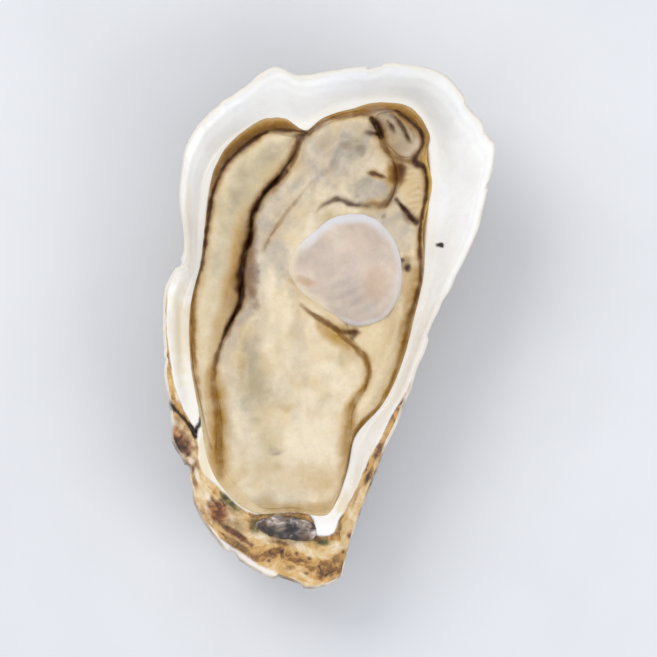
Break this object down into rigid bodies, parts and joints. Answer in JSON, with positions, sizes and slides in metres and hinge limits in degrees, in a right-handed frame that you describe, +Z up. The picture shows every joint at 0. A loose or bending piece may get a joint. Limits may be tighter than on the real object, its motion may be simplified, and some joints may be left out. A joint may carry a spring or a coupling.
{
  "type": "oyster on the half shell",
  "caption": "Long cupped oyster valve with a white nacre lip, flaky outside and pointed beak, holding its wet cream meat with a round muscle face.",
  "frame": {"origin": "middle of the bounding box in plan, on the small flat spot that the shell rests on", "axes": "+Z up out of the open shell, +Y from the beak (hinge end) to the lip, +X to the right when seen from above with the lip away from the viewer"},
  "size_m": [0.0661, 0.1046, 0.027],
  "materials": {
    "shell": "satin",
    "hinge_ligament": "gloss",
    "adductor_muscle": "gloss",
    "belly": "gloss",
    "gill_fold": "gloss",
    "mantle_curl": "gloss",
    "mantle": "gloss"
  },
  "bodies": {
    "root": {"shell": "shell", "hinge_ligament": "hinge_ligament", "adductor_muscle": "adductor_muscle", "belly": "belly", "gill_fold": "gill_fold", "mantle_curl": "mantle_curl", "mantle": "mantle"}
  },
  "joints": []
}
